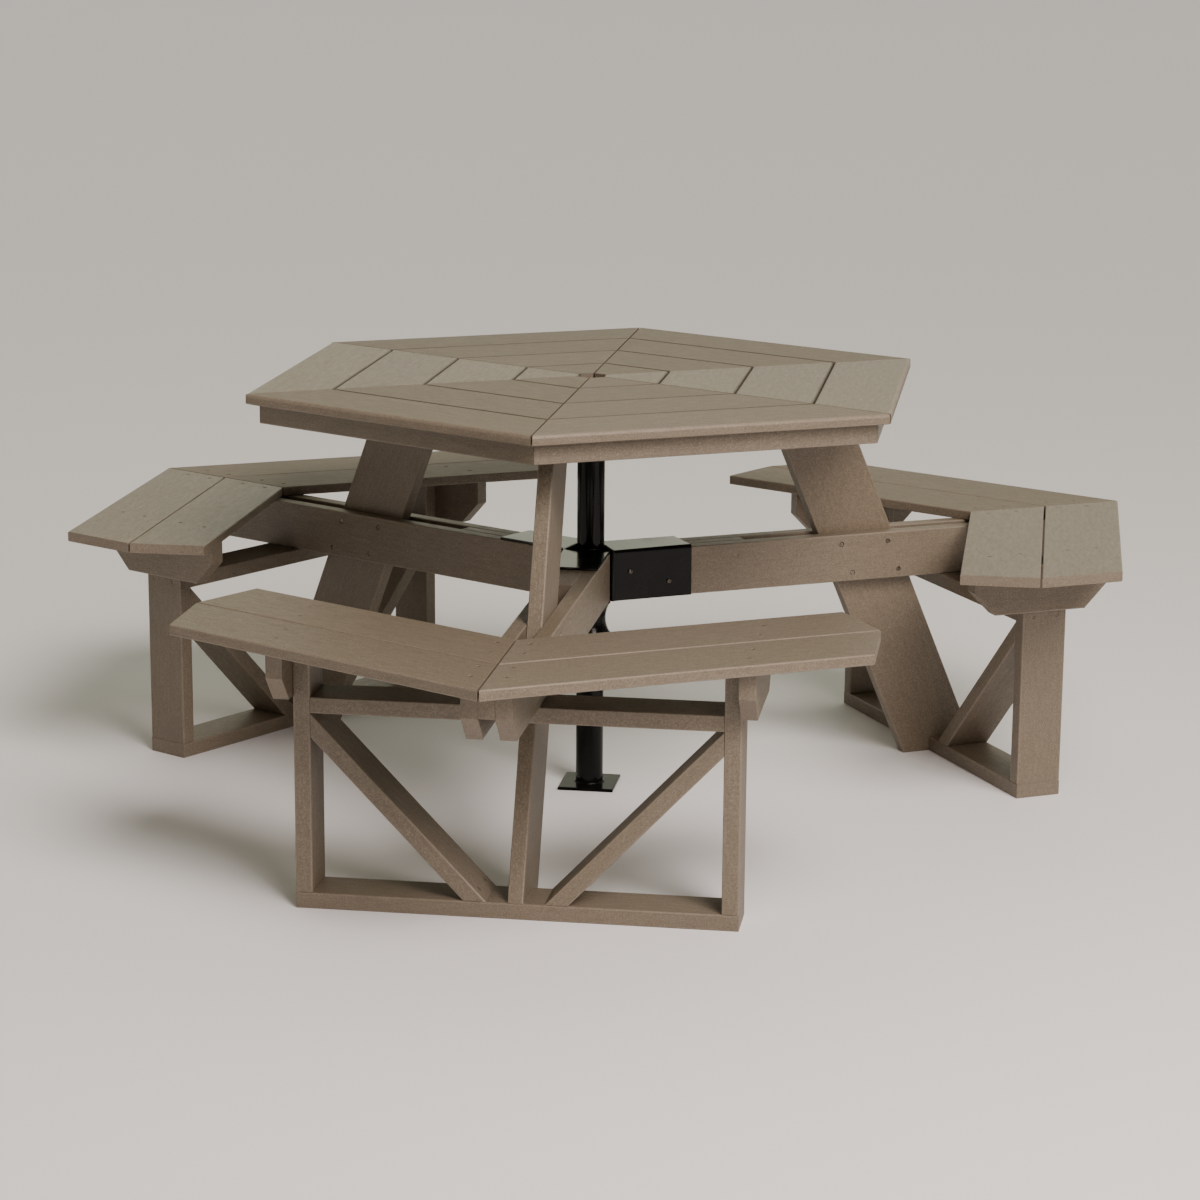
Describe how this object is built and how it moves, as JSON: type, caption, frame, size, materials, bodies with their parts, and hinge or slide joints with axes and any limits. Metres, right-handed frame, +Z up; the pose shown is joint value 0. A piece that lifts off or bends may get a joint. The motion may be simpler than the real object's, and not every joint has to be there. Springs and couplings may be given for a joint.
{
  "type": "picnic table",
  "caption": "Hexagonal outdoor picnic table in plastic lumber, with V-shaped attached benches, a steel hub and a centre tube for an umbrella pole.",
  "frame": {"origin": "on the ground at the centre, under the umbrella tube's base plate", "axes": "+Z up along the umbrella tube; -Y points out along the front arm, from which the other two arms stand 120 degrees apart"},
  "size_m": [1.904, 1.9734, 0.762],
  "materials": {
    "lumber": "weathered brown recycled-plastic lumber with a fine speckle",
    "coated_steel": "gloss black powder coat",
    "zinc": "zinc-plated"
  },
  "bodies": {
    "root": {"tabletop_sector_1": "lumber", "tabletop_sector_2": "lumber", "tabletop_sector_3": "lumber", "tabletop_sector_4": "lumber", "tabletop_sector_5": "lumber", "tabletop_sector_6": "lumber", "front_seat_inner_board_a": "lumber", "front_seat_inner_board_b": "lumber", "front_seat_outer_board_a": "lumber", "front_seat_outer_board_b": "lumber", "front_beam_a": "lumber", "front_beam_b": "lumber", "front_leg": "lumber", "front_bottom_rail": "lumber", "front_seat_rail": "lumber", "front_post_a": "lumber", "front_post_b": "lumber", "front_brace_a": "lumber", "front_brace_b": "lumber", "front_cleat_a": "lumber", "front_cleat_b": "lumber", "right_seat_inner_board_a": "lumber", "right_seat_inner_board_b": "lumber", "right_seat_outer_board_a": "lumber", "right_seat_outer_board_b": "lumber", "right_beam_a": "lumber", "right_beam_b": "lumber", "right_leg": "lumber", "right_bottom_rail": "lumber", "right_seat_rail": "lumber", "right_post_a": "lumber", "right_post_b": "lumber", "right_brace_a": "lumber", "right_brace_b": "lumber", "right_cleat_a": "lumber", "right_cleat_b": "lumber", "left_seat_inner_board_a": "lumber", "left_seat_inner_board_b": "lumber", "left_seat_outer_board_a": "lumber", "left_seat_outer_board_b": "lumber", "left_beam_a": "lumber", "left_beam_b": "lumber", "left_leg": "lumber", "left_bottom_rail": "lumber", "left_seat_rail": "lumber", "left_post_a": "lumber", "left_post_b": "lumber", "left_brace_a": "lumber", "left_brace_b": "lumber", "left_cleat_a": "lumber", "left_cleat_b": "lumber", "apron": "lumber", "top_battens": "lumber", "beam_spacers": "lumber", "hub": "coated_steel", "umbrella_tube": "coated_steel", "tube_collar": "coated_steel", "base_plate": "coated_steel", "wood_screws": "zinc", "leg_bolts": "zinc"}
  },
  "joints": []
}
